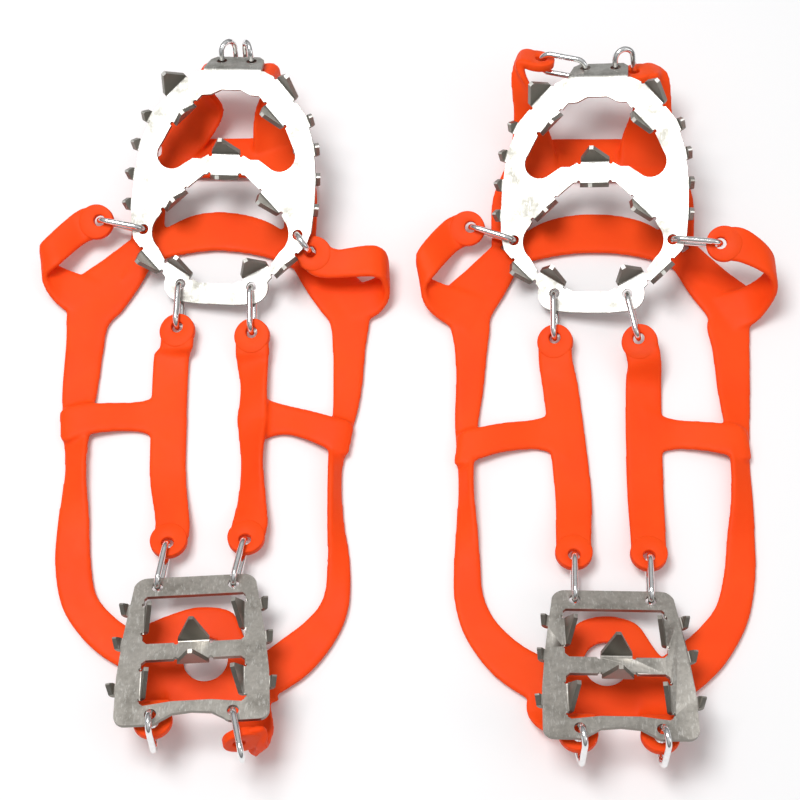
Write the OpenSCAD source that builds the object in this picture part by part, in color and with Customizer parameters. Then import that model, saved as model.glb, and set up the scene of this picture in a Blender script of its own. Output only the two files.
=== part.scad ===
// A pair of strap-on shoe ice cleats, lying spikes up.
// Each cleat is a stretchy moulded harness, a forefoot plate, a heel plate and ten wire links.
// The floor is z = 0, +Y is towards the toes and +Z is the side that bites the ice.

/* [Plates] */
// Thickness of the steel sheet
sheet_t = 1.8; // [1.4:0.1:2.2]
// Inside radius of each bend in the sheet
bend_r = 0.8; // [0.5:0.1:1.2]
// Diameter of the holes that the links pass through
hole_d = 4.8; // [4.4:0.2:5.4]

/* [Teeth] */
// Width of a large tooth at its root
tooth_w = 13; // [10:0.5:13.5]
// Length of a large tooth beyond its bend
tooth_h = 11.5; // [8:0.5:13]
// How far each tooth leans out from square, in degrees
tooth_lean = 12; // [0:1:20]
// Width of a small edge tooth at its root
small_w = 5.5; // [4:0.5:8]
// Length of a small edge tooth beyond its bend
small_h = 4; // [3:0.5:7]

/* [Links] */
// Diameter of the link wire
wire_d = 2.6; // [2.2:0.1:2.8]
// Length of a link from end to end, between wire centres
link_l = 21; // [19:0.5:23]
// Distance between the two legs of a link, between wire centres
link_w = 8.8; // [8.4:0.2:9]

/* [Harness] */
// Thickness of the straps
strap_t = 3; // [2.4:0.2:3.4]
// Width of the straps
strap_w = 15.5; // [12:0.5:16.5]
// Thickness of the lugs at the strap ends
lug_t = 3.2; // [2.8:0.2:3.4]
// Diameter of the hole in each lug
lug_hole_d = 5.4; // [4.8:0.2:5.6]

/* [Tab] */
// Width of the tab at the front of the forefoot plate
tab_w = 27; // [24:1:30]
// Length of the tab beyond its bend
tab_l = 11.5; // [10:0.5:13]
// How far the tab bends away from the spikes, in degrees
tab_bend = 50; // [30:5:60]

/* [Hidden] */
$fn = 48;
overlap = 0.5;
// The 8-sided ball that rounds a strap's edge reaches strap_t / 2 above and below its centre
edge_r = strap_t / 2 / cos(22.5);
lug_r = 7.9;
// From a lug's hole to its tip, and from the lug's middle back to where its strap may bend
lug_tip = 6.3;
lug_neck_l = 8;

// Brings the middle of the pair's box over the origin
to_middle = [1.9, -9.8, 0];

// Each plate's place: centre, then yaw, pitch and roll in degrees
left_fore = [[-83, 115, 26], -4, 17, -8];
left_heel = [[-88, -107, 21], 3, -18, 0];
right_fore = [[84.5, 110, 28], -2.5, 17, -14];
right_heel = [[85.5, -113.5, 21], -1, -18, 0];

// ---------- places and directions ----------

function unit(v) = v / norm(v);
function across(v, way) = unit(v - way * (v * way));
function about_x(v, a) = [v.x, v.y * cos(a) - v.z * sin(a), v.y * sin(a) + v.z * cos(a)];
function about_y(v, a) = [v.x * cos(a) + v.z * sin(a), v.y, -v.x * sin(a) + v.z * cos(a)];
function about_z(v, a) = [v.x * cos(a) - v.y * sin(a), v.x * sin(a) + v.y * cos(a), v.z];
// A direction and a point given on a plate, in the frame of the pair
function turned(pose, v) = about_z(about_x(about_y(v, pose[3]), pose[2]), pose[1]);
function placed(pose, p) = pose[0] + turned(pose, p);

module on_plate(pose) {
    translate(pose[0]) rotate([0, 0, pose[1]]) rotate([pose[2], 0, 0]) rotate([0, pose[3], 0])
        children();
}

// Children drawn along x with z up land at p, with x along one direction and z along another
module along(p, x, z) {
    y = cross(z, x);
    multmatrix([
        [x[0], y[0], z[0], p[0]],
        [x[1], y[1], z[1], p[1]],
        [x[2], y[2], z[2], p[2]],
        [0, 0, 0, 1]
    ])
        children();
}

// ---------- outlines ----------

function arc(c, r, a0, a1, n = 8) =
    [for (i = [0 : n]) c + r * [cos(a0 + (a1 - a0) * i / n), sin(a0 + (a1 - a0) * i / n)]];
// A right-hand half outline, from the front to the back, joined to its mirror image
function both_halves(p) = concat(p, [for (i = [len(p) - 1 : -1 : 0]) [-p[i].x, p[i].y]]);

// ---------- teeth ----------

// A tooth that bends up from an edge at x = 0, with free space on the +x side
module tooth(w, h) {
    a = 90 - tooth_lean;
    tip_w = w / 7;
    translate([-overlap, -w / 2, -sheet_t / 2])
        cube([overlap, w, sheet_t]);
    translate([0, 0, sheet_t / 2 + bend_r]) {
        rotate([90, 0, 0]) rotate([0, 0, -90])
            rotate_extrude(angle = a)
                translate([bend_r, -w / 2])
                    square([sheet_t, w]);
        rotate([0, -a, 0]) translate([0, 0, -bend_r - sheet_t])
            linear_extrude(sheet_t)
                polygon([[0, -w / 2], [h, -tip_w / 2], [h, tip_w / 2], [0, w / 2]]);
    }
}

module teeth(places, w, h) {
    for (p = places)
        translate([p[0], p[1], 0])
            rotate([0, 0, p[2]])
                tooth(w, h);
}

// Small round notches that end each bend cleanly
module bend_notches(places, w) {
    for (p = places, side = [-1, 1])
        translate([p[0], p[1], 0]) rotate([0, 0, p[2]]) translate([0, side * (w / 2 + 0.7), 0])
            cylinder(r = 0.9, h = 2 * sheet_t, center = true, $fn = 24);
}

// The same places on the other side of the plate's centre line
function mirrored(places) = [for (p = places) [-p[0], p[1], 180 - p[2]]];
function both_sides(places) = concat(places, mirrored(places));

module link_holes(places) {
    for (p = places)
        translate([p[0], p[1], 0])
            cylinder(d = hole_d, h = 3 * sheet_t, center = true);
}

// ---------- forefoot plate ----------

fore_front = 45;
fore_side_holes = [[-36, -29.5, 0], [36, -29.5, 0]];
fore_rear_holes = [[-16.5, -54, 0], [16.5, -54, 0]];
tab_hole_x = 7;
tab_hole_y = 7;
// Each tooth is [x, y, direction it faces]
fore_outer_teeth = both_sides([[25.5, 37, 43], [31, -43.5, -46]]);
fore_inner_teeth = both_sides([[21.5, 25, -136], [22.5, -15, -134], [18, -47.5, 120]]);
fore_bar_teeth = [[0, 6, 90], [0, -3, -90]];
fore_teeth = concat(fore_outer_teeth, fore_inner_teeth, fore_bar_teeth);
fore_small_teeth = both_sides([[37, 22.5, 25], [40.7, 9.5, 12], [42.2, -4, 3], [42.4, -18, -1]]);

// Where a point of the tab lies on the forefoot plate: y runs from the bend along the tab
function on_tab(x, y, z) = about_x([x, y, z + sheet_t / 2 + bend_r], -tab_bend)
    + [0, fore_front, -sheet_t / 2 - bend_r];
function tab_way(v) = about_x(v, -tab_bend);
tab_holes = [on_tab(-tab_hole_x, tab_hole_y, 0), on_tab(tab_hole_x, tab_hole_y, 0)];

module fore_outline() {
    polygon(both_halves(concat(
        [[15, fore_front], [20.7, 42.2], [30.5, 31.8], [35.5, 25.5], [39.5, 14], [41.6, 3]],
        [[42.4, -8], [42.5, -18], [42, -28], [40.3, -34], [37.7, -37], [24.5, -50.2]],
        arc([16.5, -54], 7.6, 20, -80, 8),
        [[9, -62.4]]
    )));
}

module fore_openings() {
    polygon(both_halves(concat(
        [[4.5, 36.3], [9.3, 33.9], [13.5, 33.6], [16.4, 30.1], [26.5, 19.6]],
        arc([25.2, 6], 7.2, 38, -115, 10),
        [[15.5, 4], [11.5, 4], [8, 6]]
    )));
    polygon(both_halves(concat(
        [[9.5, -3], [16.8, -9.4], [28, -20.8]],
        arc([22, -30], 10, 45, -50, 8),
        [[24.5, -43.8], [11.5, -51.3], [8, -53]]
    )));
}

module tab() {
    root = [0, fore_front, -sheet_t / 2 - bend_r];
    translate([-tab_w / 2, fore_front - overlap, -sheet_t / 2])
        cube([tab_w, overlap, sheet_t]);
    translate(root) {
        rotate([90, 0, 90]) rotate([0, 0, 90 - tab_bend])
            rotate_extrude(angle = tab_bend)
                translate([bend_r, -tab_w / 2])
                    square([sheet_t, tab_w]);
        rotate([-tab_bend, 0, 0]) translate([0, 0, bend_r])
            linear_extrude(sheet_t)
                polygon(both_halves([[tab_w / 2, 0], [tab_w / 2 - 1, tab_l - 3], [tab_w / 2 - 3.5, tab_l]]));
    }
}

module forefoot_plate(pose) {
    color("gainsboro") translate(to_middle) on_plate(pose) difference() {
        union() {
            translate([0, 0, -sheet_t / 2]) linear_extrude(sheet_t) difference() {
                fore_outline();
                fore_openings();
            }
            tab();
            teeth(fore_teeth, tooth_w, tooth_h);
            teeth(fore_small_teeth, small_w, small_h);
        }
        bend_notches(fore_teeth, tooth_w);
        link_holes(concat(fore_side_holes, fore_rear_holes));
        for (h = tab_holes)
            translate(h) rotate([-tab_bend, 0, 0])
                cylinder(d = hole_d, h = 3 * sheet_t, center = true);
    }
}

// ---------- heel plate ----------

heel_front_holes = [[-16, 31, 0], [16, 31, 0]];
heel_rear_holes = [[-16.5, -30.3, 0], [16.5, -30.3, 0]];
heel_teeth = concat(
    both_sides([[21.2, 15, 180], [21.2, -16.5, 180]]),
    [[0, 2.8, 90], [0, -5, -90]]
);
heel_small_teeth = both_sides([[27.6, 20, 8], [29.6, 3.5, 7], [31.1, -18, 0]]);

module heel_outline() {
    polygon(both_halves(concat(
        arc([20, 29.5], 6, 90, 20, 6),
        [[29.2, 7], [31, -12], [31.2, -28]],
        arc([26.7, -30.3], 4.5, 0, -90, 6),
        arc([16.5, -30.3], 4.7, -75, -140, 5),
        [[8, -30.4], [0, -29.6]]
    )));
}

module heel_openings() {
    polygon(both_halves([[20, 26.2], [21.2, 25], [21.2, 4.5], [19.5, 2.8]]));
    polygon(both_halves([[19.5, -5], [21.2, -6.5], [21.2, -25.3], [19.8, -26.3], [8, -24.8]]));
}

module heel_plate(pose) {
    color("darkgray") translate(to_middle) on_plate(pose) difference() {
        union() {
            translate([0, 0, -sheet_t / 2]) linear_extrude(sheet_t) difference() {
                heel_outline();
                heel_openings();
            }
            teeth(heel_teeth, tooth_w, tooth_h);
            teeth(heel_small_teeth, small_w, small_h);
        }
        bend_notches(heel_teeth, tooth_w);
        link_holes(concat(heel_front_holes, heel_rear_holes));
    }
}

// ---------- links and the lugs they hold ----------
// A link is [centre, way it runs, way from leg to leg, lug hole, way the lug points, lug normal]

// A link that runs from a hole along one way, with its legs apart along another.
// Its lug is turned by lug_turn degrees from the link's own line
function straight_link(pose, hole, way, leg_way, lug_turn = 0) =
    let (h = placed(pose, hole), d = turned(pose, way), m = turned(pose, leg_way))
    [h + d * link_l / 2, d, m, h + d * link_l,
     -d * cos(lug_turn) + cross(m, -d) * sin(lug_turn), m];

// A link nearly in line with its plate: az in the plate's plane, drop below it
function flat_link(pose, hole, az, drop, lug_turn = 0) = straight_link(pose, hole,
    [cos(az) * cos(drop), sin(az) * cos(drop), -sin(drop)],
    [cos(az) * sin(drop), sin(az) * sin(drop), cos(drop)], lug_turn);

// A link whose first leg stands in the plate's hole, with its second leg past the plate's edge.
// n is the sheet's normal and w the way to the second leg; the centre is rise along n.
// The lug is on leg 0 or 1, drop below the sheet, and points along tip
function standing_link(pose, hole, n, w, rise, leg, drop, tip) =
    let (h = placed(pose, hole), wn = turned(pose, n), ww = turned(pose, w))
    [h + ww * link_w / 2 + wn * rise, wn, ww, h + ww * link_w * leg - wn * drop,
     turned(pose, tip), wn];

// A link in line with the plate at its hole, with its lug across its lower leg
function hung_link(pose, hole, az, drop, tip) =
    let (flat = flat_link(pose, hole, az, drop), sag = link_w / 2 + 0.5)
    [flat[0], flat[1], flat[2], flat[0] - flat[2] * sag, across(tip, flat[1]), flat[1]];

function level_way(az) = [cos(az), sin(az), 0];
up = [0, 0, 1];
tab_normal = tab_way(up);
toe_link_rise = 13;

left_links = [
    standing_link(left_fore, tab_holes[0], tab_normal, tab_way(level_way(58)), -2, 0, 5,
        tab_way(level_way(0))),
    standing_link(left_fore, tab_holes[1], tab_normal, tab_way(level_way(122)), -2, 0, 5,
        tab_way(level_way(180))),
    flat_link(left_fore, fore_side_holes[0], 172, -4, 30),
    standing_link(left_fore, fore_side_holes[1], up, level_way(-50), -5, 1, 4.5, level_way(150)),
    flat_link(left_fore, fore_rear_holes[0], -86, -12),
    flat_link(left_fore, fore_rear_holes[1], -84, -4),
    flat_link(left_heel, heel_front_holes[0], 79, -8),
    flat_link(left_heel, heel_front_holes[1], 76, -8),
    standing_link(left_heel, heel_rear_holes[0], up, level_way(-90), -5, 0, 7, level_way(-90)),
    hung_link(left_heel, heel_rear_holes[1], -80, 6, [-1, 0, 0.2])
];

right_links = [
    straight_link(right_fore, tab_holes[0], tab_way([-cos(toe_link_rise), 0, sin(toe_link_rise)]),
        tab_way([sin(toe_link_rise), 0, cos(toe_link_rise)])),
    standing_link(right_fore, tab_holes[1], tab_normal, tab_way(level_way(30)), -2, 1, 5,
        tab_way(level_way(200))),
    flat_link(right_fore, fore_side_holes[0], 164, -8, 40),
    flat_link(right_fore, fore_side_holes[1], -4, 6),
    flat_link(right_fore, fore_rear_holes[0], -86, -8),
    flat_link(right_fore, fore_rear_holes[1], -74, -2),
    flat_link(right_heel, heel_front_holes[0], 89, -8),
    flat_link(right_heel, heel_front_holes[1], 89, -8),
    standing_link(right_heel, heel_rear_holes[0], up, level_way(-80), -5, 0, 7, level_way(-90)),
    standing_link(right_heel, heel_rear_holes[1], up, level_way(-80), -5, 0, 7, level_way(-90))
];

module wire_link(link) {
    bend = link_w / 2;
    leg_l = link_l - link_w;
    color("silver") translate(to_middle) along(link[0], link[1], link[2]) rotate([90, 0, 0]) {
        for (side = [-1, 1]) {
            translate([-leg_l / 2, side * bend, 0]) rotate([0, 90, 0])
                cylinder(d = wire_d, h = leg_l, $fn = 24);
            translate([side * leg_l / 2, 0, 0]) rotate([0, 0, -side * 90])
                rotate_extrude(angle = 180)
                    translate([bend, 0])
                        circle(d = wire_d, $fn = 24);
        }
    }
}

// ---------- harness ----------
// A strap is a row of stations [x, y, z, turn, lean, width]: its width runs along turn in plan
// and rises by lean, and a station without a width takes the strap's own

function width_way(s) = [cos(s[3]) * cos(s[4]), sin(s[3]) * cos(s[4]), sin(s[4])];
function place_of(s) = [s[0], s[1], s[2]];
function width_of(s, w) = len(s) > 5 ? s[5] : w;

module strap_bar(s, w) {
    for (side = [-1, 1])
        translate(place_of(s) + side * (width_of(s, w) / 2 - edge_r) * width_way(s))
            sphere(r = edge_r, $fn = 8);
}

module strap(stations, w = strap_w) {
    for (i = [0 : len(stations) - 2])
        hull() {
            strap_bar(stations[i], w);
            strap_bar(stations[i + 1], w);
        }
}

module lug_pad(link) {
    centre = link[3] - link[4] * (lug_r - lug_tip);
    along(centre, link[4], link[5])
        cylinder(r = lug_r, h = lug_t, center = true, $fn = 32);
}

// The straight end of a strap, level with its lug
module lug_neck(link) {
    centre = link[3] - link[4] * (lug_r - lug_tip + lug_neck_l);
    for (side = [-1, 1])
        translate(centre + side * (lug_r - edge_r) * cross(link[5], link[4]))
            sphere(r = edge_r, $fn = 8);
}

// A strap that ends in the lug of a link
module lug_strap(link, stations) {
    strap(stations);
    hull() {
        strap_bar(stations[len(stations) - 1], strap_w);
        lug_neck(link);
    }
    hull() {
        lug_neck(link);
        lug_pad(link);
    }
}

module lug_holes(links) {
    for (link = links)
        along(link[3], link[4], link[5])
            cylinder(d = lug_hole_d, h = 3 * lug_t, center = true, $fn = 24);
}

module left_straps() {
    // toe band, instep band and the columns that join them
    strap([[-116, 136, 3, 90, 0], [-100, 135.5, 3, 90, 0], [-84, 135.5, 3, 90, 0],
        [-66, 136, 3, 90, 0], [-54, 137, 3, 90, 0]], 17);
    strap([[-128, 78, 2.5, 75, 0], [-112, 89, 2.5, 72, 0], [-98, 94, 2.5, 85, 0], [-84, 95, 2.5, 90, 0],
        [-68, 92, 2.5, 98, 0], [-56, 86, 2.7, 105, 0], [-44, 76, 2.4, 120, 0]], 20);
    strap([[-117, 134, 3, 10, 0], [-120, 112, 3, 0, 0], [-120, 88, 2.5, -10, 0]]);
    strap([[-54, 135, 3, -10, 0], [-50, 114, 3, 0, 0], [-50, 88, 2.5, 10, 0]]);
    // toe arms
    lug_strap(left_links[0], [[-112, 138, 3, -30, 0, 24], [-105, 147, 8, -42, 5, 22],
        [-101, 157, 15, -55, 12, 18]]);
    lug_strap(left_links[1], [[-62, 138, 3, 20, 0, 22], [-64, 147, 9, 30, -5, 20],
        [-65, 155, 16, 45, -12, 17]]);
    // ears
    lug_strap(left_links[2], [[-146, 61, 2.2, 50, 0, 20], [-157, 66, 3.2, 78, 0, 18], [-164, 71, 6.5, 90, 0],
        [-165.5, 76, 10, 103, 0], [-161, 80, 12.5, 115, 0]]);
    lug_strap(left_links[3], [[-30, 58, 2.2, 120, 0, 20], [-18, 60, 3.2, 110, 0, 18], [-11, 64, 6.5, 98, 0],
        [-10, 69, 12, 90, 0], [-15, 72, 18, 86, 0]]);
    // side bands
    strap([[-122, 86, 2.5, -37, 0], [-131, 74, 2.2, -37, 0, 22], [-141, 62, 2, -30, 0, 27],
        [-145, 50, 2, -12, 0, 21], [-145.5, 38, 1.5, -4, 0, 16.5], [-146, 20, 1.5, 0, 0],
        [-146, 0, 1.5, 0, 0], [-146.5, -30, 1.5, 0, 0], [-146, -55, 1.5, 5, 0],
        [-142, -72, 1.5, 15, 0], [-134, -88, 1.5, 30, 0], [-122, -100, 2, 50, 0], [-106, -106, 2.5, 75, 0]]);
    strap([[-48, 84, 2.5, 34, 0], [-38.5, 72, 2.2, 34, 0, 21], [-29, 60, 2, 25, 0, 24],
        [-26.3, 50, 2, 10, 0, 18.5], [-26, 34, 1.5, 0, 0, 15], [-27, 14, 1.5, 4, 0], [-30, -4, 1.5, 5, 0],
        [-32, -22, 1.5, 2, 0], [-31, -42, 1.5, -2, 0], [-30, -62, 1.5, -3, 0], [-32, -80, 1.5, -15, 0],
        [-39, -96, 1.5, -35, 0], [-50, -108, 2, -50, 0], [-62, -116, 2.5, -60, 0]]);
    // side arms that cross to the inner straps
    strap([[-106, 3, 2, 90, 0, 26], [-113, 3, 2, 90, 0, 18], [-121, 3, 2.2, 90, 0, 13.5],
        [-134, 2, 3.8, 91, 0, 13.5], [-145, 0, 4.8, 94, 0, 15], [-152, -2, 4, 96, 0, 17.5],
        [-154.5, -2.5, 2.2, 96, 0, 18]]);
    strap([[-69, 2, 2, 90, 0, 26], [-62, 2, 2, 90, 0, 18], [-54, 1.5, 2.2, 89, 0, 13.5],
        [-43, -2, 4, 84, 0, 13.5], [-32, -6.5, 4.8, 81, 0, 15], [-25.5, -8.5, 4, 80, 0, 17.5],
        [-22.8, -9.3, 2.2, 80, 0, 18]]);
    // inner straps, one lug at each end
    lug_strap(left_links[4], [[-106, 3, 2, 0, 0], [-107, 25, 2, 2, 0]]);
    lug_strap(left_links[6], [[-106, 3, 2, 0, 0], [-105, -25, 2, -2, 0]]);
    lug_strap(left_links[5], [[-69, 2, 2, 0, 0], [-69.5, 25, 2.5, -3, 0]]);
    lug_strap(left_links[7], [[-69, 2, 2, 0, 0], [-69, -25, 2, 2, 0]]);
    // heel band and heel arms
    strap([[-116, -106, 2.5, 75, 0, 28], [-103, -107, 2.5, 88, 0, 38], [-88, -106, 2.5, 90, 0, 44],
        [-73, -108, 2.5, 92, 0, 42], [-60, -113, 2.5, 120, 0, 26]]);
    lug_strap(left_links[8], [[-110, -116, 2.5, 0, 0], [-108, -124, 4, 0, 0], [-107, -130, 12, 0, 0]]);
    lug_strap(left_links[9], [[-66, -116, 2.5, 0, 0], [-64, -130, 4, 5, 10], [-61, -140, 9, 20, 35],
        [-60, -148, 17, 15, 65]]);
}

module right_straps() {
    // toe band, instep band and the columns that join them
    strap([[54, 134, 3, 95, 0], [70, 135, 3, 90, 0], [88, 135, 3, 90, 0],
        [106, 135, 3, 90, 0], [120, 133, 3, 85, 0]], 17);
    strap([[42, 76, 2.5, 60, 0], [52, 86, 2.5, 70, 0], [68, 92, 2.5, 84, 0], [86, 94, 2.5, 90, 0],
        [104, 92, 2.5, 96, 0], [118, 86, 2.7, 105, 0], [132, 74, 2.4, 120, 0]], 20);
    strap([[54, 132, 3, 10, 0], [47, 112, 3, 5, 0], [46, 88, 2.5, 0, 0]]);
    strap([[121, 130, 3, -10, 0], [125, 112, 3, -5, 0], [124, 88, 2.5, 0, 0]]);
    // toe arms
    lug_strap(right_links[0], [[57, 126, 3, 0, 0, 19], [56, 138, 8, -5, 0, 19], [54.5, 148, 17, -15, 0, 17],
        [53.5, 156, 28, -45, 0]]);
    lug_strap(right_links[1], [[117, 126, 3, 0, 0, 19], [116, 138, 9, 5, 0, 19], [115, 148, 20, 15, 0, 17],
        [114, 156, 31, 30, 0]]);
    // ears
    lug_strap(right_links[2], [[31, 52, 2.2, 60, 0, 20], [19, 57, 3.2, 72, 0, 18], [9, 62, 6.5, 88, 0],
        [6, 69, 10.5, 103, 0], [9.5, 75.5, 13, 118, 0]]);
    lug_strap(right_links[3], [[143, 53, 2.2, 120, 0, 20], [154, 56, 5.5, 108, 0, 18], [161, 60, 13, 97, 0],
        [163, 64, 21, 92, 0], [159, 68, 27.5, 92, 0]]);
    // side bands
    strap([[46, 84, 2.5, -35, 0], [36, 70, 2.2, -34, 0, 21], [26.5, 57, 2, -26, 0, 25],
        [28, 45, 2, -8, 0, 18.5], [28.8, 33, 1.5, -3, 0, 15.5], [28, 10, 1.5, -3, 0], [26, -10, 1.5, -2, 0],
        [25, -40, 1.5, 0, 0], [26, -62, 1.5, 2, 0], [28, -82, 1.5, 12, 0], [36, -100, 1.5, 33, 0],
        [48, -113, 2, 50, 0], [60, -119, 2.5, 70, 0]]);
    strap([[126, 84, 2.5, 35, 0], [137, 69, 2.2, 33, 0, 21], [147, 57, 2, 24, 0, 25],
        [145, 47, 2, 6, 0, 20], [145, 35, 1.5, 0, 0, 16.5], [147, 12, 1.5, 0, 0], [146, -12, 1.5, -1, 0],
        [145, -40, 1.5, -1, 0], [143.5, -62, 1.5, -6, 0], [140, -80, 1.5, -16, 0], [132, -97, 1.5, -33, 0],
        [121, -109, 2, -50, 0], [108, -117, 2.5, -65, 0]]);
    // side arms that cross to the inner straps
    strap([[70, -5, 2, 90, 0, 26], [63, -5, 2, 90, 0, 18], [55, -5.5, 2.2, 90, 0, 13.5],
        [42, -7.5, 4, 87, 0, 13.5], [30, -11, 4.8, 84, 0, 15], [22, -13.2, 4, 82, 0, 17.5],
        [18.8, -14, 2.2, 82, 0, 18]]);
    strap([[104, -5, 2, 90, 0, 26], [111, -5, 2, 90, 0, 18], [119, -5.5, 2.2, 90, 0, 13.5],
        [131, -7, 4, 93, 0, 13.5], [143, -9.5, 4.8, 95, 0, 15], [150, -11, 4, 96, 0, 17.5],
        [153, -11.3, 2.2, 96, 0, 18]]);
    // inner straps, one lug at each end
    lug_strap(right_links[4], [[70, -5, 2, 0, 0], [68, 17, 2, 2, 0]]);
    lug_strap(right_links[6], [[70, -5, 2, 0, 0], [72, -33, 2, 0, 0]]);
    lug_strap(right_links[5], [[104, -5, 2, 0, 0], [105, 17, 2.5, -2, 0]]);
    lug_strap(right_links[7], [[104, -5, 2, 0, 0], [103.5, -33, 2, 0, 0]]);
    // heel band and heel arms
    strap([[57, -117, 2.5, 62, 0, 26], [70, -112, 2.5, 88, 0, 40], [84, -110, 2.5, 90, 0, 44],
        [98, -112, 2.5, 92, 0, 40], [111, -116, 2.5, 116, 0, 26]]);
    lug_strap(right_links[8], [[60, -122, 2.5, 0, 0], [64, -130, 4, 0, 0], [67, -136, 11, 0, 0]]);
    lug_strap(right_links[9], [[104, -122, 2.5, 0, 0], [104, -130, 4, 0, 0], [103, -136, 11, 0, 0]]);
}

module left_harness() {
    color("orangered") translate(to_middle) difference() {
        left_straps();
        lug_holes(left_links);
        translate([-85, -107, 0]) cylinder(d = 19, h = 20, center = true, $fn = 32);
    }
}

module right_harness() {
    color("orangered") translate(to_middle) difference() {
        right_straps();
        lug_holes(right_links);
        translate([83, -109, 0]) cylinder(d = 19, h = 20, center = true, $fn = 32);
    }
}

// ---------- the pair ----------

left_harness();
forefoot_plate(left_fore);  // left_forefoot_plate
heel_plate(left_heel);  // left_heel_plate
wire_link(left_links[0]);  // left_toe_link_1
wire_link(left_links[1]);  // left_toe_link_2
wire_link(left_links[2]);  // left_side_link_1
wire_link(left_links[3]);  // left_side_link_2
wire_link(left_links[4]);  // left_rear_link_1
wire_link(left_links[5]);  // left_rear_link_2
wire_link(left_links[6]);  // left_arch_link_1
wire_link(left_links[7]);  // left_arch_link_2
wire_link(left_links[8]);  // left_heel_link_1
wire_link(left_links[9]);  // left_heel_link_2
right_harness();
forefoot_plate(right_fore);  // right_forefoot_plate
heel_plate(right_heel);  // right_heel_plate
wire_link(right_links[0]);  // right_toe_link_1
wire_link(right_links[1]);  // right_toe_link_2
wire_link(right_links[2]);  // right_side_link_1
wire_link(right_links[3]);  // right_side_link_2
wire_link(right_links[4]);  // right_rear_link_1
wire_link(right_links[5]);  // right_rear_link_2
wire_link(right_links[6]);  // right_arch_link_1
wire_link(right_links[7]);  // right_arch_link_2
wire_link(right_links[8]);  // right_heel_link_1
wire_link(right_links[9]);  // right_heel_link_2
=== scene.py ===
"""A pair of strap-on shoe ice cleats: the looks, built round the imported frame, in metres."""

import math

import bmesh
import bpy
from mathutils import Matrix, Vector


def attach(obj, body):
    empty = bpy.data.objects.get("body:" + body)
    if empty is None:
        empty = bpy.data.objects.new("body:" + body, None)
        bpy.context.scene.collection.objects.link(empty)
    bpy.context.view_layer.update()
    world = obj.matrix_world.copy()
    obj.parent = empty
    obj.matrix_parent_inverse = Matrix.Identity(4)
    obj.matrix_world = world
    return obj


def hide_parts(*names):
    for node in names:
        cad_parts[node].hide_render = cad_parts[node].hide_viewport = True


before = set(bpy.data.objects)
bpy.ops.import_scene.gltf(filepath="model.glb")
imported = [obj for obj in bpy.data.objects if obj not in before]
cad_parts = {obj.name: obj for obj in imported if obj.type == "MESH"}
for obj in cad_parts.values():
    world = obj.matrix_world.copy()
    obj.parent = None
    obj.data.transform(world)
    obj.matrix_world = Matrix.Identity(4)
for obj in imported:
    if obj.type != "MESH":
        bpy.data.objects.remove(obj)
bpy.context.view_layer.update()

# ---------- driving sizes, in millimetres and degrees ----------
# They are the CAD's, except for INNER_STRAP_W, where the CAD has STRAP_W, and LUG_HOLE_R, where it
# has 2.7.

MM = 0.001
TO_MIDDLE = Vector((1.9, -9.8, 0))
SHEET_T = 1.8
BEND_R = 0.8
LINK_L = 21
LINK_W = 8.8
STRAP_T = 3
STRAP_W = 15.5
INNER_STRAP_W = 16.2
LUG_R = 7.9
LUG_TIP = 6.3
LUG_NECK_L = 8
LUG_T = 3.2
LUG_HOLE_R = 2.65
HUNG_SAG = LINK_W / 2 + 0.5
TAB_BEND = 50
FORE_FRONT = 45
TAB_HOLES = [(-7, 7), (7, 7)]
FORE_SIDE_HOLES = [(-36, -29.5, 0), (36, -29.5, 0)]
FORE_REAR_HOLES = [(-16.5, -54, 0), (16.5, -54, 0)]
HEEL_FRONT_HOLES = [(-16, 31, 0), (16, 31, 0)]
HEEL_REAR_HOLES = [(-16.5, -30.3, 0), (16.5, -30.3, 0)]

# The moulding is drawn as voxels, smoothed, and cut a little wider than the pads' own holes
VOXEL = 0.8
SMOOTH_PASSES = 10
SMOOTH_FACTOR = 0.5
CUT_SLACK = 0.7
HEEL_CUT_H = 20
HEEL_CUT_SIDES = 96

# How far a lug's pad stands out from the moulding, and how its inner and outer edges are rounded
PAD_PROUD = 0.2
PAD_SPREAD = 0.1
PAD_SIDE = 0.5
PAD_NICK = 0.15
PAD_OUTER_SIDE = 0.6
PAD_OUTER_NICK = 0.2

EDGE_BEVEL = 0.22
BEVEL_FROM = 40
FLAT_WITHIN = 1
WELD_WITHIN = 1e-6


# ---------- places on the plates ----------

def spin(axis, degrees):
    return Matrix.Rotation(math.radians(degrees), 4, axis)


def pose(centre, yaw, pitch, roll):
    """A plate's place, as a matrix in millimetres."""
    return Matrix.Translation(centre) @ spin("Z", yaw) @ spin("X", pitch) @ spin("Y", roll)


LEFT_FORE = pose((-83, 115, 26), -4, 17, -8)
LEFT_HEEL = pose((-88, -107, 21), 3, -18, 0)
RIGHT_FORE = pose((84.5, 110, 28), -2.5, 17, -14)
RIGHT_HEEL = pose((85.5, -113.5, 21), -1, -18, 0)
UP = Vector((0, 0, 1))


def level_way(azimuth):
    return Vector((math.cos(math.radians(azimuth)), math.sin(math.radians(azimuth)), 0))


def tab_way(v):
    return spin("X", -TAB_BEND) @ Vector(v)


def tab_hole(x, y):
    """A hole of the tab, on its forefoot plate."""
    knee = Vector((0, FORE_FRONT, -SHEET_T / 2 - BEND_R))
    return knee + tab_way((x, y, SHEET_T / 2 + BEND_R))


TAB_NORMAL = tab_way(UP)
# The right cleat's first toe link, as it rises from its tab
TOE_LINK_RISE = math.radians(13)
TOE_LINK_WAY = (-math.cos(TOE_LINK_RISE), 0, math.sin(TOE_LINK_RISE))
TOE_LINK_LEGS = (math.sin(TOE_LINK_RISE), 0, math.cos(TOE_LINK_RISE))


# ---------- the lugs that the links hold: (hole, way the lug points, its normal) ----------

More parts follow.
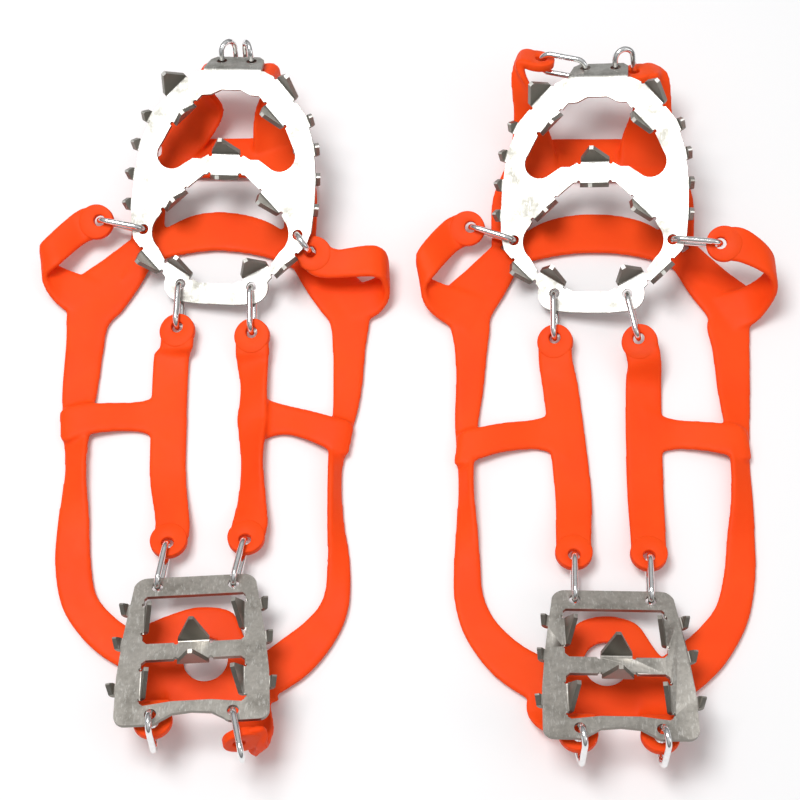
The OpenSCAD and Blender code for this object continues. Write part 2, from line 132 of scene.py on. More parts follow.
def straight_lug(plate, hole, way, leg_way, lug_turn=0):
    way, legs = (plate.to_3x3() @ Vector(v) for v in (way, leg_way))
    turn = math.radians(lug_turn)
    tip = -way * math.cos(turn) - legs.cross(way) * math.sin(turn)
    return plate @ Vector(hole) + way * LINK_L, tip, legs


def flat_ways(azimuth, drop):
    down = math.radians(drop)
    flat = level_way(azimuth)
    return flat * math.cos(down) - UP * math.sin(down), flat * math.sin(down) + UP * math.cos(down)


def flat_lug(plate, hole, azimuth, drop, lug_turn=0):
    return straight_lug(plate, hole, *flat_ways(azimuth, drop), lug_turn)


def standing_lug(plate, hole, normal, away, leg, drop, tip):
    turn = plate.to_3x3()
    normal = turn @ Vector(normal)
    place = plate @ Vector(hole) + (turn @ Vector(away)) * LINK_W * leg - normal * drop
    return place, turn @ Vector(tip), normal


def hung_lug(plate, hole, azimuth, drop, tip):
    run, legs = (plate.to_3x3() @ way for way in flat_ways(azimuth, drop))
    place = plate @ Vector(hole) + run * LINK_L / 2 - legs * HUNG_SAG
    tip = Vector(tip)
    return place, (tip - run * tip.dot(run)).normalized(), run


LEFT_LUGS = [
    standing_lug(LEFT_FORE, tab_hole(*TAB_HOLES[0]), TAB_NORMAL, tab_way(level_way(58)), 0, 5,
                 tab_way(level_way(0))),
    standing_lug(LEFT_FORE, tab_hole(*TAB_HOLES[1]), TAB_NORMAL, tab_way(level_way(122)), 0, 5,
                 tab_way(level_way(180))),
    flat_lug(LEFT_FORE, FORE_SIDE_HOLES[0], 172, -4, 30),
    standing_lug(LEFT_FORE, FORE_SIDE_HOLES[1], UP, level_way(-50), 1, 4.5, level_way(150)),
    flat_lug(LEFT_FORE, FORE_REAR_HOLES[0], -86, -12),
    flat_lug(LEFT_FORE, FORE_REAR_HOLES[1], -84, -4),
    flat_lug(LEFT_HEEL, HEEL_FRONT_HOLES[0], 79, -8),
    flat_lug(LEFT_HEEL, HEEL_FRONT_HOLES[1], 76, -8),
    standing_lug(LEFT_HEEL, HEEL_REAR_HOLES[0], UP, level_way(-90), 0, 7, level_way(-90)),
    hung_lug(LEFT_HEEL, HEEL_REAR_HOLES[1], -80, 6, (-1, 0, 0.2)),
]
RIGHT_LUGS = [
    straight_lug(RIGHT_FORE, tab_hole(*TAB_HOLES[0]), tab_way(TOE_LINK_WAY),
                 tab_way(TOE_LINK_LEGS)),
    standing_lug(RIGHT_FORE, tab_hole(*TAB_HOLES[1]), TAB_NORMAL, tab_way(level_way(30)), 1, 5,
                 tab_way(level_way(200))),
    flat_lug(RIGHT_FORE, FORE_SIDE_HOLES[0], 164, -8, 40),
    flat_lug(RIGHT_FORE, FORE_SIDE_HOLES[1], -4, 6),
    flat_lug(RIGHT_FORE, FORE_REAR_HOLES[0], -86, -8),
    flat_lug(RIGHT_FORE, FORE_REAR_HOLES[1], -74, -2),
    flat_lug(RIGHT_HEEL, HEEL_FRONT_HOLES[0], 89, -8),
    flat_lug(RIGHT_HEEL, HEEL_FRONT_HOLES[1], 89, -8),
    standing_lug(RIGHT_HEEL, HEEL_REAR_HOLES[0], UP, level_way(-80), 0, 7, level_way(-90)),
    standing_lug(RIGHT_HEEL, HEEL_REAR_HOLES[1], UP, level_way(-80), 0, 7, level_way(-90)),
]

# ---------- the straps: (number of the lug at the end or None, width, stations) ----------
# A station is (x, y, z, turn, lean[, width])

LEFT_STRAPS = [
    # toe band, instep band and the columns that join them
    (None, 21, [(-116, 134, 3, 90, 0), (-100, 133.5, 3, 90, 0), (-84, 133.5, 3, 90, 0),
                (-66, 134, 3, 90, 0), (-54, 135, 3, 90, 0)]),
    (None, 20, [(-128, 78, 2.5, 75, 0), (-112, 89, 2.5, 72, 0), (-98, 94, 2.5, 85, 0),
                (-84, 95, 2.5, 90, 0), (-68, 92, 2.5, 98, 0), (-56, 86, 2.7, 105, 0),
                (-44, 76, 2.4, 120, 0)]),
    (None, STRAP_W, [(-117, 134, 3, 10, 0), (-120, 112, 3, 0, 0), (-120, 88, 2.5, -10, 0)]),
    (None, STRAP_W, [(-54, 135, 3, -10, 0), (-50, 114, 3, 0, 0), (-50, 88, 2.5, 10, 0)]),
    # toe arms
    (0, STRAP_W, [(-112, 138, 3, -30, 0, 24), (-103, 147, 8, -38, 4, 25),
                  (-95, 157, 15, -32, 4, 21)]),
    (1, STRAP_W, [(-62, 138, 3, 20, 0, 22), (-64, 147, 9, 30, -5, 20),
                  (-65, 155, 16, 45, -12, 17)]),
    # ears
    (2, STRAP_W, [(-146, 61, 2.2, 50, 0, 20), (-157, 66, 3.2, 78, 0, 18), (-164, 71, 6.5, 90, 0),
                  (-165.5, 76, 10, 103, 0), (-161, 80, 12.5, 115, 0)]),
    (3, STRAP_W, [(-30, 58, 2.2, 120, 0, 20), (-18, 60, 3.2, 110, 0, 18), (-11, 64, 6.5, 98, 0),
                  (-10, 69, 12, 90, 0), (-15, 72, 18, 86, 0)]),
    # side bands
    (None, STRAP_W, [(-122, 86, 2.5, -37, 0), (-131, 74, 2.2, -37, 0, 22),
                     (-141, 62, 2, -30, 0, 27), (-145, 50, 2, -12, 0, 20),
                     (-145.5, 38, 1.7, -4, 0, 17.5), (-146.3, 16, 1.7, 0, 0, 16),
                     (-146.5, 0, 2.2, 0, 10, 13), (-145.6, -17, 3.2, 0, 30, 11.5),
                     (-145.2, -28, 3, 0, 25, 11.5), (-144.8, -45, 2, 2, 8, 14),
                     (-144, -63, 1.7, 5, 0, 15.5), (-140.5, -80, 1.7, 17, 0, 15.5),
                     (-133, -91, 2, 33, 0, 16), (-122, -100, 2.3, 50, 0, 17),
                     (-106, -106, 2.5, 75, 0, 20)]),
    (None, STRAP_W, [(-48, 84, 2.5, 34, 0), (-38.5, 72, 2.2, 34, 0, 21), (-29, 60, 2, 25, 0, 24),
                     (-26.3, 50, 2, 10, 0, 18.5), (-26.5, 36, 1.7, 0, 0, 15),
                     (-26.8, 20, 1.7, 3, 0, 13.5), (-27.8, 6, 1.9, 5, 0, 11.5),
                     (-30.5, -10, 2.6, 3, -25, 9), (-32, -24, 4.4, 1, -58, 9),
                     (-31.4, -45, 3.6, -2, -45, 9), (-29.8, -62, 2.3, -3, -20, 10),
                     (-30.3, -80, 1.8, -12, 0, 11.5), (-36, -93, 1.8, -32, 0, 15),
                     (-48, -106, 2.2, -48, 0, 19), (-62, -116, 2.5, -60, 0, 18)]),
    # side arms that cross to the inner straps
    (None, STRAP_W, [(-106, 3, 2, 90, 0, 27), (-113.5, 3, 2, 90, 0, 18), (-121, 3, 2.2, 90, 0, 14),
                     (-134, 2, 3.8, 91, 0, 14), (-144, 0.5, 4.8, 94, 0, 15.5),
                     (-150.5, -1.5, 4.2, 96, 0, 16.5), (-153, -2, 2.6, 96, 0, 13)]),
    (None, STRAP_W, [(-69, 2, 2, 90, 0, 27), (-61.5, 2, 2, 90, 0, 18), (-54, 1.5, 2.2, 89, 0, 14),
                     (-43, -2, 4, 84, 0, 14), (-34, -5.8, 4.8, 81, 0, 15.5),
                     (-28, -8, 4.2, 80, 0, 16.5), (-25.5, -8.8, 2.6, 80, 0, 13)]),
    # inner straps, one lug at each end
    (4, INNER_STRAP_W, [(-106, 3, 2, 0, 0), (-106.3, 24, 2, 0, 0), (-105.8, 33, 3.2, -3, 0)]),
    (6, INNER_STRAP_W, [(-106, 3, 2, 0, 0), (-105, -25, 2, -2, 0)]),
    (5, INNER_STRAP_W, [(-69, 2, 2.6, 0, 12, 14), (-68.6, 16, 3.6, 0, 26, 13.5),
                        (-69.4, 28, 4, 0, 16, 15)]),
    (7, INNER_STRAP_W, [(-69, 2, 2.6, 0, 12, 14), (-68.3, -18, 4, 0, 35, 12),
                        (-67.8, -34, 3.4, 0, 22, 13)]),
    # heel band and heel arms
    (None, STRAP_W, [(-116, -106, 2.5, 75, 0, 28), (-103, -107, 2.5, 88, 0, 38),
                     (-88, -106, 2.5, 90, 0, 44), (-73, -108, 2.5, 92, 0, 42),
                     (-60, -113, 2.5, 120, 0, 26)]),
    (8, STRAP_W, [(-110, -116, 2.5, 0, 0), (-108, -124, 4, 0, 0), (-107, -130, 12, 0, 0)]),
    (9, STRAP_W, [(-66, -116, 2.5, 0, 0), (-64, -130, 4, 5, 10), (-61, -140, 9, 20, 35),
                  (-60, -148, 17, 15, 65)]),
]
RIGHT_STRAPS = [
    # toe band, instep band and the columns that join them
    (None, 22, [(54, 131.5, 3, 95, 0), (70, 132.5, 3, 90, 0), (88, 132.5, 3, 90, 0),
                (106, 132.5, 3, 90, 0), (120, 130.5, 3, 85, 0)]),
    (None, 20, [(42, 76, 2.5, 60, 0), (52, 86, 2.5, 70, 0), (68, 92, 2.5, 84, 0),
                (86, 94, 2.5, 90, 0), (104, 92, 2.5, 96, 0), (118, 86, 2.7, 105, 0),
                (132, 74, 2.4, 120, 0)]),
    (None, STRAP_W, [(54, 132, 3, 10, 0), (47, 112, 3, 5, 0), (46, 88, 2.5, 0, 0)]),
    (None, STRAP_W, [(121, 130, 3, -10, 0), (125, 112, 3, -5, 0), (124, 88, 2.5, 0, 0)]),
    # toe arms
    (0, STRAP_W, [(59, 126, 3, 0, 0, 22), (58.5, 138, 8, -5, 0, 20), (56.5, 148, 17, -15, 0, 15),
                  (53.5, 156, 28, -45, 0)]),
    (1, STRAP_W, [(112, 128, 3, 0, 0, 26), (112, 140, 9, 4, 0, 25), (113, 149, 19, 12, 0, 20),
                  (113.5, 156, 31, 30, 0, 16)]),
    # ears
    (2, STRAP_W, [(31, 52, 2.2, 60, 0, 20), (19, 57, 3.2, 72, 0, 18), (9, 62, 6.5, 88, 0),
                  (6, 69, 10.5, 103, 0), (9.5, 75.5, 13, 118, 0)]),
    (3, STRAP_W, [(143, 53, 2.2, 120, 0, 20), (154, 56, 5.5, 108, 0, 18), (161, 60, 13, 97, 0),
                  (163, 64, 21, 92, 0), (159, 68, 27.5, 92, 0)]),
    # side bands
    (None, STRAP_W, [(46, 84, 2.5, -35, 0), (36, 70, 2.2, -34, 0, 21), (26.5, 57, 2, -26, 0, 25),
                     (28, 45, 2, -8, 0, 18), (28.3, 33, 1.7, -3, 0, 14.5),
                     (27.5, 16, 1.7, -3, 0, 12.5), (26, 2, 1.9, -3, 5, 11),
                     (25.5, -14, 2.6, -1, 28, 9), (25.3, -30, 4.2, 0, 52, 9),
                     (25.4, -52, 2.6, 0, 25, 10.5), (25.4, -66, 1.8, 1, 5, 11.7),
                     (26, -80, 1.8, 8, 0, 12.8), (31, -94, 1.8, 28, 0, 15),
                     (43, -108, 2.2, 48, 0, 18), (60, -118, 2.5, 66, 0, 20)]),
    (None, STRAP_W, [(126, 84, 2.5, 35, 0), (137, 69, 2.2, 33, 0, 21), (147, 57, 2, 24, 0, 25),
                     (145, 47, 2, 6, 0, 20), (145.4, 35, 1.7, 0, 0, 17), (145.3, 18, 1.7, 0, 0, 15),
                     (145.4, 0, 2.3, 0, -15, 12.5), (145.4, -18, 3, -1, -32, 10.5),
                     (145.2, -36, 2.6, -2, -22, 10.8), (143.6, -54, 1.9, -5, -5, 12.5),
                     (142, -70, 1.7, -8, 0, 13.7), (137.5, -87, 1.7, -25, 0, 15),
                     (128, -101, 2, -42, 0, 18), (118, -110, 2.3, -54, 0, 20),
                     (108, -117, 2.5, -65, 0, 20)]),
    # side arms that cross to the inner straps
    (None, STRAP_W, [(70, -5, 2, 90, 0, 27), (62.5, -5, 2, 90, 0, 18), (55, -5.5, 2.2, 90, 0, 14),
                     (42, -7.5, 4, 87, 0, 14), (31, -10.6, 4.8, 84, 0, 15.5),
                     (24, -12.6, 4.2, 82, 0, 16.5), (21.5, -13.3, 2.6, 82, 0, 13)]),
    (None, STRAP_W, [(104, -5, 2, 90, 0, 27), (111.5, -5, 2, 90, 0, 18),
                     (119, -5.5, 2.2, 90, 0, 14), (131, -7, 4, 93, 0, 14),
                     (141, -9, 4.8, 95, 0, 15.5), (147, -10.4, 4.2, 96, 0, 16.5),
                     (149.5, -10.9, 2.6, 96, 0, 13)]),
    # inner straps, one lug at each end
    (4, INNER_STRAP_W, [(70, -5, 2, 0, 0), (68, 17, 2, 2, 0)]),
    (6, INNER_STRAP_W, [(70, -5, 2, 0, 0), (72, -33, 2, 0, 0)]),
    (5, INNER_STRAP_W, [(104, -5, 2, 0, 0), (105, 17, 2.5, -2, 0)]),
    (7, INNER_STRAP_W, [(104, -5, 2, 0, 0), (103.5, -33, 2, 0, 0)]),
    # heel band and heel arms
    (None, STRAP_W, [(57, -117, 2.5, 62, 0, 26), (70, -112, 2.5, 88, 0, 40),
                     (84, -110, 2.5, 90, 0, 44), (98, -112, 2.5, 92, 0, 40),
                     (111, -116, 2.5, 116, 0, 26)]),
    (8, STRAP_W, [(58, -119, 2.5, 30, 0, 20), (59, -129, 3.5, 14, 0, 19),
                  (63.5, -137, 10, 4, 0, 17)]),
    (9, STRAP_W, [(104, -122, 2.5, 0, 0), (104, -130, 4, 0, 0), (103, -136, 11, 0, 0)]),
]
HEEL_HOLE_R = 9.5
LEFT_HEEL_HOLE = (-85, -107)
RIGHT_HEEL_HOLE = (83, -109)


# ---------- harness ----------

def station(values, width):
    """A station as [place, way across the strap, width]."""
    turn, lean = math.radians(values[3]), math.radians(values[4])
    level = math.cos(lean)
    across = Vector((math.cos(turn) * level, math.sin(turn) * level, math.sin(lean)))
    return [Vector(values[:3]), across, values[5] if len(values) > 5 else width]


def lug_stations(lug):
    """The straight neck of a strap and the middle of its lug."""
    hole, tip, normal = lug
    across = normal.cross(tip).normalized()
    middle = hole - tip * (LUG_R - LUG_TIP)
    return [[middle - tip * LUG_NECK_L, across, STRAP_W], [middle, across, STRAP_W]]


def route(values, width, lug):
    """A strap's stations, with every way across turned to the same side."""
    rows = [station(v, width) for v in values]
    if lug is not None:
        rows += lug_stations(lug)
    for before, after in zip(rows, rows[1:]):
        if before[1].dot(after[1]) < 0:
            after[1] = -after[1]
    return rows


def between(p0, p1, p2, p3, t):
    """Catmull-Rom interpolation from p1 to p2."""
    return (p1 * 2 + (p2 - p0) * t + (p0 * 2 - p1 * 5 + p2 * 4 - p3) * t * t
            + (p1 * 3 - p0 - p2 * 3 + p3) * t * t * t) * 0.5


def smooth_route(rows, step=2.5):
    """The same route with more stations, on one smooth curve."""
    out = []
    for i in range(len(rows) - 1):
        near = [rows[max(i - 1, 0)], rows[i], rows[i + 1], rows[min(i + 2, len(rows) - 1)]]
        count = max(2, math.ceil((near[2][0] - near[1][0]).length / step))
        for k in range(count):
            out.append([between(*(r[j] for r in near), k / count) for j in range(3)])
    return out + [rows[-1]]


def strap_section(width, thick=STRAP_T, corner=1.0, arc=3):
    """Points round a strap's section, as (across, through)."""
    points = []
    for quarter, (sx, sz) in enumerate(((1, 1), (-1, 1), (-1, -1), (1, -1))):
        for k in range(arc + 1):
            a = math.radians(90 * quarter + 90 * k / arc)
            points.append((sx * (width / 2 - corner) + corner * math.cos(a),
                           sz * (thick / 2 - corner) + corner * math.sin(a)))
    return points


def add_strap(bm, rows):
    """Sweeps a strap's section along its route, as one closed tube."""
    rows = smooth_route(rows)
    rings = []
    for i, (place, across, width) in enumerate(rows):
        ahead = rows[min(i + 1, len(rows) - 1)][0] - rows[max(i - 1, 0)][0]
        across = across.normalized()
        through = ahead.cross(across).normalized()
        rings.append([bm.verts.new(place + across * x + through * z)
                      for x, z in strap_section(width)])
    for a, b in zip(rings, rings[1:]):
        for k in range(len(a)):
            j = (k + 1) % len(a)
            bm.faces.new((a[k], a[j], b[j], b[k]))
    bm.faces.new(rings[0])
    bm.faces.new(rings[-1])


def facing(place, x_way, z_way):
    """The turn that sends x along x_way and z along z_way, and the shift to place."""
    y_way = z_way.cross(x_way).normalized()
    return Matrix((x_way, y_way, z_way)).transposed().to_4x4(), Matrix.Translation(place)


def add_disc(bm, place, x_way, z_way, radius, height, sides=48):
    turn, shift = facing(place, x_way, z_way)
    bmesh.ops.create_cone(bm, cap_ends=True, segments=sides, radius1=radius, radius2=radius,
                          depth=height, matrix=shift @ turn)


def add_lug_rim(bm, lug, sides=48):
    """The raised round pad round a lug's hole. Its outer circle sits back from the hole."""
    hole, tip, normal = lug
    middle = hole - tip * (LUG_R - LUG_TIP)
    across = normal.cross(tip).normalized()
    half, outer = LUG_T / 2 + PAD_PROUD, LUG_R + PAD_SPREAD
    profile = [(hole, LUG_HOLE_R, -half + PAD_SIDE), (hole, LUG_HOLE_R, half - PAD_SIDE),
               (hole, LUG_HOLE_R + PAD_NICK, half - PAD_NICK), (hole, LUG_HOLE_R + PAD_SIDE, half),
               (middle, outer - PAD_OUTER_SIDE, half),
               (middle, outer - PAD_OUTER_NICK, half - PAD_NICK), (middle, outer, half - PAD_SIDE),
               (middle, outer, -half + PAD_SIDE),
               (middle, outer - PAD_OUTER_NICK, -half + PAD_NICK),
               (middle, outer - PAD_OUTER_SIDE, -half), (hole, LUG_HOLE_R + PAD_SIDE, -half),
               (hole, LUG_HOLE_R + PAD_NICK, -half + PAD_NICK)]
    rings = []
    for k in range(sides):
        a = math.tau * k / sides
        out = tip * math.cos(a) + across * math.sin(a)
        rings.append([bm.verts.new(centre + out * r + normal * z) for centre, r, z in profile])
    for a, b in zip(rings, rings[1:] + rings[:1]):
        for k in range(len(a)):
            j = (k + 1) % len(a)
            bm.faces.new((a[k], a[j], b[j], b[k]))


def mesh_object(name, bm):
    """Takes a mesh drawn in millimetres about the CAD's own origin to an object in metres."""
    bmesh.ops.recalc_face_normals(bm, faces=bm.faces)
    bm.transform(Matrix.Scale(MM, 4) @ Matrix.Translation(TO_MIDDLE))
    mesh = bpy.data.meshes.new(name)
    bm.to_mesh(mesh)
    bm.free()
    obj = bpy.data.objects.new(name, mesh)
    bpy.context.scene.collection.objects.link(obj)
    return obj


def apply_modifiers(obj):
    bpy.context.view_layer.update()
    evaluated = obj.evaluated_get(bpy.context.evaluated_depsgraph_get())
    mesh = bpy.data.meshes.new_from_object(evaluated)
    obj.modifiers.clear()
    obj.data = mesh


def harness(name, straps, lugs, heel_hole):
    """One moulding: swept straps melted together, smoothed, then pierced and given its lug pads."""
    body = bmesh.new()
    for lug_number, width, values in straps:
        add_strap(body, route(values, width, None if lug_number is None else lugs[lug_number]))
    for hole, tip, normal in lugs:
        add_disc(body, hole - tip * (LUG_R - LUG_TIP), tip, normal, LUG_R, LUG_T)
    obj = mesh_object(name, body)
    melt = obj.modifiers.new("melt", "REMESH")
    melt.mode = "VOXEL"
    melt.voxel_size = VOXEL * MM
    relax = obj.modifiers.new("relax", "SMOOTH")
    relax.factor = SMOOTH_FACTOR
    relax.iterations = SMOOTH_PASSES
    apply_modifiers(obj)

    tools = bmesh.new()
    for hole, tip, normal in lugs:
        add_disc(tools, hole, tip, normal, LUG_HOLE_R + CUT_SLACK, 3 * LUG_T)
    add_disc(tools, Vector((*heel_hole, 0)), Vector((1, 0, 0)), UP, HEEL_HOLE_R, HEEL_CUT_H,
             HEEL_CUT_SIDES)
    cutter = mesh_object(name + "_cutter", tools)
    cut = obj.modifiers.new("cut", "BOOLEAN")
    cut.operation = "DIFFERENCE"
    cut.solver = "MANIFOLD"
    cut.object = cutter
    apply_modifiers(obj)
    bpy.data.objects.remove(cutter)

    whole = bmesh.new()
    for lug in lugs:
        add_lug_rim(whole, lug)
    rims = mesh_object(name + "_rims", whole)
    joined = bmesh.new()
    joined.from_mesh(obj.data)
    joined.from_mesh(rims.data)
    joined.to_mesh(obj.data)
    joined.free()
    bpy.data.objects.remove(rims)
    obj.data.shade_smooth()
    return obj


# ---------- materials ----------

class Nodes:
    """A short way to write a material's nodes."""

    def __init__(self, name):
        self.material = bpy.data.materials.new(name)
        self.material.use_nodes = True
        self.tree = self.material.node_tree
        self.shader = self.tree.nodes["Principled BSDF"]
        self.coords = self.tree.nodes.new("ShaderNodeTexCoord")

    def link(self, source, target):
        self.tree.links.new(source, target)

    def scaled(self, scale, turn=(0, 0, 0)):
        """Object coordinates, scaled and turned."""
        node = self.tree.nodes.new("ShaderNodeMapping")
        node.inputs["Scale"].default_value = scale
        node.inputs["Rotation"].default_value = [math.radians(a) for a in turn]
        self.link(self.coords.outputs["Object"], node.inputs["Vector"])
        return node.outputs["Vector"]

    def noise(self, vector, scale, detail=4, rough=0.6):
        node = self.tree.nodes.new("ShaderNodeTexNoise")
        node.inputs["Scale"].default_value = scale
        node.inputs["Detail"].default_value = detail
        node.inputs["Roughness"].default_value = rough
        self.link(vector, node.inputs["Vector"])
        return node.outputs["Fac"]

    def ramp(self, factor, stops):
        node = self.tree.nodes.new("ShaderNodeValToRGB")
        while len(node.color_ramp.elements) < len(stops):
            node.color_ramp.elements.new(0.5)
        for element, (place, shade) in zip(node.color_ramp.elements, stops):
            element.position = place
            element.color = (*shade, 1) if hasattr(shade, "__len__") else (shade, shade, shade, 1)
        self.link(factor, node.inputs["Fac"])
        return node.outputs["Color"]

    def mix(self, kind, factor, a, b):
        """Mixes two colours, each a socket or a colour; factor is a socket or a number."""
        node = self.tree.nodes.new("ShaderNodeMix")
        node.data_type = "RGBA"
        node.blend_type = kind
        for socket, value in ((node.inputs[0], factor), (node.inputs[6], a), (node.inputs[7], b)):
            if isinstance(value, bpy.types.NodeSocket):
                self.link(value, socket)
            else:
                socket.default_value = value if socket == node.inputs[0] else (*value, 1)
        return node.outputs[2]

    def bump(self, height, strength, distance, below=None):
        node = self.tree.nodes.new("ShaderNodeBump")
        node.inputs["Strength"].default_value = strength
        node.inputs["Distance"].default_value = distance
        self.link(height, node.inputs["Height"])
        if below is not None:
            self.link(below, node.inputs["Normal"])
        return node.outputs["Normal"]


def silicone():
    n = Nodes("orange_silicone")
    cloud = n.noise(n.scaled((1, 1, 1)), scale=22, detail=3)
    grain = n.noise(n.scaled((1, 1, 1)), scale=1400, detail=2)
    smear = n.noise(n.scaled((1, 1, 1)), scale=90, detail=4)
    colour = n.ramp(cloud, [(0.35, (0.92, 0.064, 0.005)), (0.65, (0.96, 0.077, 0.007))])
    n.link(colour, n.shader.inputs["Base Color"])
    n.link(n.ramp(smear, [(0.3, 0.5), (0.7, 0.6)]), n.shader.inputs["Roughness"])
    fine = n.bump(grain, strength=0.12, distance=0.0001)
    n.link(n.bump(smear, strength=0.08, distance=0.0004, below=fine), n.shader.inputs["Normal"])
    n.shader.inputs["Specular IOR Level"].default_value = 0.14
    n.shader.inputs["Subsurface Weight"].default_value = 0.12
    n.shader.inputs["Subsurface Radius"].default_value = (1, 0.25, 0.08)
    n.shader.inputs["Subsurface Scale"].default_value = 0.0015
    return n.material


def sheet_steel(name, light, dark, painted_tilt_shade, rough):
    """Stamped and tumbled sheet: cloudy and scratched, with painted shade on every face that does
    not face up, the bent-up teeth and the bevels alike.
    """
    n = Nodes(name)
    cloud = n.noise(n.scaled((1, 1, 1)), scale=75, detail=6, rough=0.65)
    speck = n.noise(n.scaled((1, 1, 1)), scale=520, detail=3)
    lines = [n.noise(n.scaled((1, 0.035, 1), (0, 0, turn)), scale=900, detail=2)
             for turn in (24, -38, 71)]
    scratch = n.ramp(lines[0], [(0.60, 0), (0.68, 1)])
    for line in lines[1:]:
        scratch = n.mix("LIGHTEN", 1.0, scratch, n.ramp(line, [(0.62, 0), (0.70, 1)]))
    face = n.ramp(cloud, [(0.34, dark), (0.54, light)])
    face = n.mix("MULTIPLY", 0.35, face, n.ramp(speck, [(0.35, 0.6), (0.6, 1.0)]))
    face = n.mix("MIX", n.ramp(scratch, [(0, 0), (1, 0.3)]), face, (0.95, 0.94, 0.9))
    # Painted shade: where the object-space normal leans away from up, as on the bent-up teeth and
    # the bevel faces, the colour goes to the dark tilted-face shade.
    split = n.tree.nodes.new("ShaderNodeSeparateXYZ")
    n.link(n.coords.outputs["Normal"], split.inputs["Vector"])
    level = n.ramp(split.outputs["Z"], [(0.72, 0), (0.9, 1)])
    n.link(n.mix("MIX", level, painted_tilt_shade, face), n.shader.inputs["Base Color"])
    n.link(n.ramp(cloud, [(0.3, rough + 0.1), (0.7, rough - 0.05)]), n.shader.inputs["Roughness"])
    fine = n.bump(scratch, strength=0.12, distance=0.00005)
    n.link(n.bump(cloud, strength=0.15, distance=0.0003, below=fine), n.shader.inputs["Normal"])
    n.shader.inputs["Metallic"].default_value = 1.0
    return n.material


def wire_steel():
    n = Nodes("polished_wire")
    cloud = n.noise(n.scaled((1, 1, 1)), scale=400, detail=4)
    n.link(n.ramp(cloud, [(0.3, 0.78), (0.7, 0.9)]), n.shader.inputs["Base Color"])
    n.link(n.ramp(cloud, [(0.3, 0.16), (0.7, 0.08)]), n.shader.inputs["Roughness"])
    n.link(n.bump(cloud, strength=0.05, distance=0.0002), n.shader.inputs["Normal"])
    n.shader.inputs["Metallic"].default_value = 1.0
    return n.material


def floor_white():
    """A plain matt white."""
    n = Nodes("floor_white")
    n.shader.inputs["Base Color"].default_value = (0.9, 0.9, 0.905, 1)
    n.shader.inputs["Roughness"].default_value = 0.9
    n.shader.inputs["Specular IOR Level"].default_value = 0.1
    return n.material


def paint(obj, material):
    obj.data.materials.clear()
    obj.data.materials.append(material)


# ---------- the object ----------

orange = silicone()
for side, straps, lugs, heel_hole in (("left", LEFT_STRAPS, LEFT_LUGS, LEFT_HEEL_HOLE),
                                      ("right", RIGHT_STRAPS, RIGHT_LUGS, RIGHT_HEEL_HOLE)):
    moulding = harness(side + "_harness_moulding", straps, lugs, heel_hole)
    paint(moulding, orange)
    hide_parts(side + "_harness")
    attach(moulding, side + "_harness")

# Painted shade: the heel plates are the same steel as the forefoot plates, given darker colours for
# their darker reflections.
fore_steel = sheet_steel("forefoot_steel", light=(0.66, 0.65, 0.615), dark=(0.36, 0.352, 0.315),
                         painted_tilt_shade=(0.30, 0.285, 0.255), rough=0.44)
heel_steel = sheet_steel("heel_steel", light=(0.56, 0.53, 0.48), dark=(0.33, 0.31, 0.275),
                         painted_tilt_shade=(0.27, 0.255, 0.225), rough=0.4)
wire = wire_steel()


def soften(node):
    """Breaks the sharp edges of a stamped plate."""
    weld = node.modifiers.new("weld", "WELD")
    weld.merge_threshold = WELD_WITHIN
    flat = node.modifiers.new("flat", "DECIMATE")
    flat.decimate_type = "DISSOLVE"
    flat.angle_limit = math.radians(FLAT_WITHIN)
    bevel = node.modifiers.new("bevel", "BEVEL")
    bevel.width = EDGE_BEVEL * MM
    bevel.segments = 2
    bevel.limit_method = "ANGLE"
    bevel.angle_limit = math.radians(BEVEL_FROM)
    normals = node.modifiers.new("normals", "WEIGHTED_NORMAL")
    normals.keep_sharp = True


for name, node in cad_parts.items():
    if name.endswith("forefoot_plate"):
        paint(node, fore_steel)
        soften(node)
    elif name.endswith("heel_plate"):
        paint(node, heel_steel)
        soften(node)
    elif "link" in name:
        paint(node, wire)

# ---------- floor, light and camera ----------

FLOOR_HALF = 12.0
FLOOR_DROP = 0.0003
bpy.ops.mesh.primitive_plane_add(size=2 * FLOOR_HALF, location=(0, 0, -FLOOR_DROP))
floor = bpy.context.object
floor.name = "floor"
paint(floor, floor_white())


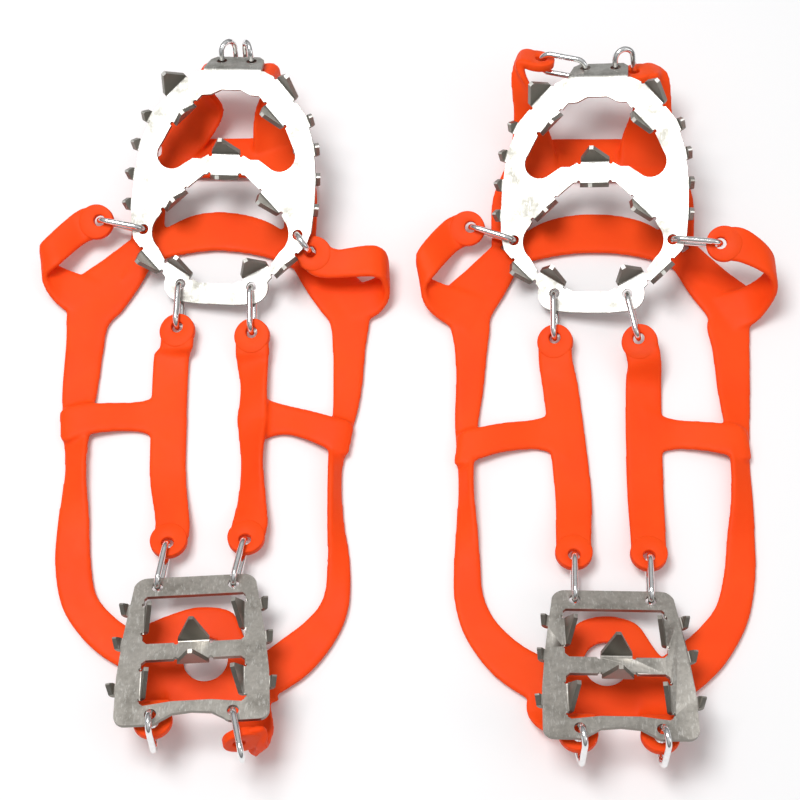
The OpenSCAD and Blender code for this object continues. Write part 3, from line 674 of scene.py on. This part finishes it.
def softbox(name, place, aim, size, power):
    data = bpy.data.lights.new(name, "AREA")
    data.shape = "RECTANGLE"
    data.size, data.size_y = size
    data.energy = power
    lamp = bpy.data.objects.new(name, data)
    lamp.location = place
    lamp.rotation_euler = (Vector(aim) - Vector(place)).to_track_quat("-Z", "Y").to_euler()
    bpy.context.scene.collection.objects.link(lamp)


softbox("softbox_above", place=(-0.35, 0.1, 1.3), aim=(0, 0, 0), size=(0.55, 0.5), power=12.5)
softbox("softbox_right", place=(1.3, -0.5, 0.9), aim=(0, 0, 0), size=(0.6, 0.9), power=2)


def studio_sky(low, middle, high):
    """Light from all round, darkest below and brightest above."""
    world = bpy.data.worlds.new("studio")
    bpy.context.scene.world = world
    world.use_nodes = True
    tree = world.node_tree
    coords = tree.nodes.new("ShaderNodeTexCoord")
    split = tree.nodes.new("ShaderNodeSeparateXYZ")
    ramp = tree.nodes.new("ShaderNodeValToRGB")
    ramp.color_ramp.elements[0].color = (low, low, low, 1)
    ramp.color_ramp.elements[1].color = (high, high, high, 1)
    ramp.color_ramp.elements.new(0.5).color = (middle, middle, middle, 1)
    tree.links.new(coords.outputs["Generated"], split.inputs["Vector"])
    tree.links.new(split.outputs["Z"], ramp.inputs["Fac"])
    tree.links.new(ramp.outputs["Color"], tree.nodes["Background"].inputs["Color"])


studio_sky(low=0.1, middle=0.36, high=0.72)

CAMERA_DISTANCE = 0.78
CAMERA_ELEVATION = 68
CAMERA_LENS = 81
SENSOR_W = 36
CAMERA_SHIFT = (-0.01, 0.01)
AIM_HEIGHT = 20
CAMERA_AIM = (TO_MIDDLE + Vector((0, 0, AIM_HEIGHT))) * MM
elevation = math.radians(CAMERA_ELEVATION)
camera = bpy.data.objects.new("camera", bpy.data.cameras.new("camera"))
back = Vector((0, -math.cos(elevation), math.sin(elevation)))
camera.location = CAMERA_AIM + back * CAMERA_DISTANCE
camera.rotation_euler = (-back).to_track_quat("-Z", "Y").to_euler()
camera.data.lens = CAMERA_LENS
camera.data.sensor_width = SENSOR_W
camera.data.shift_x, camera.data.shift_y = CAMERA_SHIFT
bpy.context.scene.collection.objects.link(camera)
bpy.context.scene.camera = camera
bpy.context.scene.view_settings.view_transform = "Standard"
